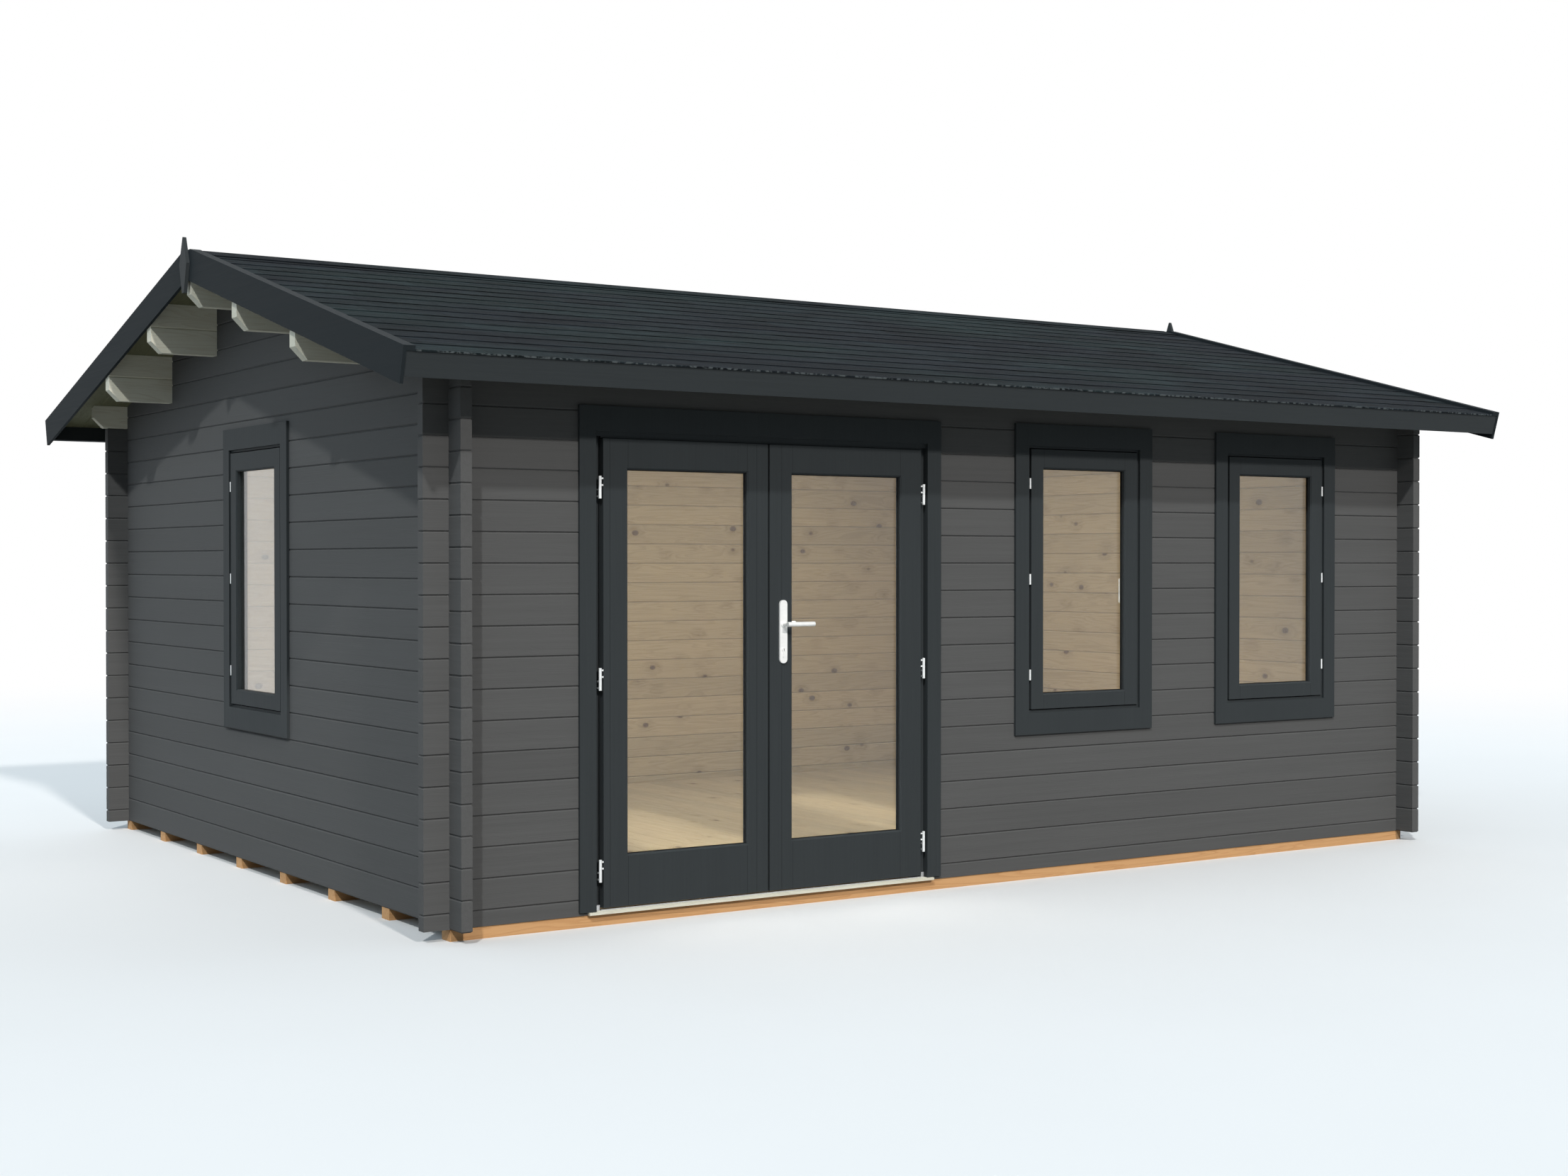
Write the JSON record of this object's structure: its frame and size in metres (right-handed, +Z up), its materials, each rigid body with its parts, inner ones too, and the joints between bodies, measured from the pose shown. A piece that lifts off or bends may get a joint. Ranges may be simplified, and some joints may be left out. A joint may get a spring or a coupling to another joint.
{
  "type": "log cabin garden shed",
  "caption": "Timber log cabin with glazed double doors that swing out, fixed casement windows, a floor and a low gable roof with deep overhangs.",
  "frame": {"origin": "middle of the footprint, level with the underside of the bearers", "axes": "+Z up, the doors face -Y, the ridge runs along X"},
  "size_m": [5.756, 4.5476, 2.7423],
  "materials": {
    "wall_paint": "matt grey wood paint on planed spruce logs",
    "trim_paint": "matt dark grey wood paint",
    "bare_timber": "bare planed spruce, pale",
    "treated_timber": "impregnated timber, orange brown",
    "roof_felt": "mineral felt shingles, dark slate",
    "clear_glass": "clear double glazing",
    "hinge_metal": "zinc plated steel",
    "handle_metal": "satin silver",
    "rail_metal": "mill finish extrusion"
  },
  "bodies": {
    "cabin": {"front_wall_left": "wall_paint", "front_wall_right": "wall_paint", "front_wall_over_doors": "wall_paint", "back_wall": "wall_paint", "left_wall": "wall_paint", "right_wall": "wall_paint", "left_gable": "wall_paint", "right_gable": "wall_paint", "front_fascia": "trim_paint", "rear_fascia": "trim_paint", "left_front_barge_board": "trim_paint", "left_rear_barge_board": "trim_paint", "right_front_barge_board": "trim_paint", "right_rear_barge_board": "trim_paint", "left_finial": "trim_paint", "right_finial": "trim_paint", "door_frame": "trim_paint", "door_casings": "trim_paint", "window_frames": "trim_paint", "window_casings": "trim_paint", "window_sashes": "trim_paint", "front_eaves_log": "bare_timber", "rear_eaves_log": "bare_timber", "front_purlins": "bare_timber", "rear_purlins": "bare_timber", "ridge_purlin": "bare_timber", "front_roof_boards": "bare_timber", "rear_roof_boards": "bare_timber", "floor_boards": "bare_timber", "door_threshold": "bare_timber", "floor_bearers": "treated_timber", "front_roof_covering": "roof_felt", "rear_roof_covering": "roof_felt", "ridge_cap": "roof_felt", "window_panes": "clear_glass", "door_frame_hinges": "hinge_metal", "window_hinges": "hinge_metal", "window_handles": "handle_metal", "threshold_rail": "rail_metal"},
    "left_door": {"left_door_leaf": "trim_paint", "left_door_pane": "clear_glass", "left_door_hinges": "hinge_metal"},
    "right_door": {"right_door_leaf": "trim_paint", "right_door_pane": "clear_glass", "right_door_hinges": "hinge_metal", "handle_plates": "handle_metal", "lock_cylinder": "handle_metal"},
    "door_handle": {"door_levers": "handle_metal"}
  },
  "joints": [
    {"name": "left_door_swing", "type": "hinge", "parent": "cabin", "child": "left_door", "pos_m": [-1.94, -1.958, 0.1], "axis": [0, 0, -1], "range_deg": [0, 110]},
    {"name": "right_door_swing", "type": "hinge", "parent": "cabin", "child": "right_door", "pos_m": [-0.421, -1.958, 0.1], "axis": [0, 0, 1], "range_deg": [0, 110]},
    {"name": "handle_turn", "type": "hinge", "parent": "right_door", "child": "door_handle", "pos_m": [-1.1215, -1.938, 1.117], "axis": [0, 1, 0], "range_deg": [0, 40], "stiffness_Nm_per_rad": 1.5, "springref_deg": -34.38}
  ]
}
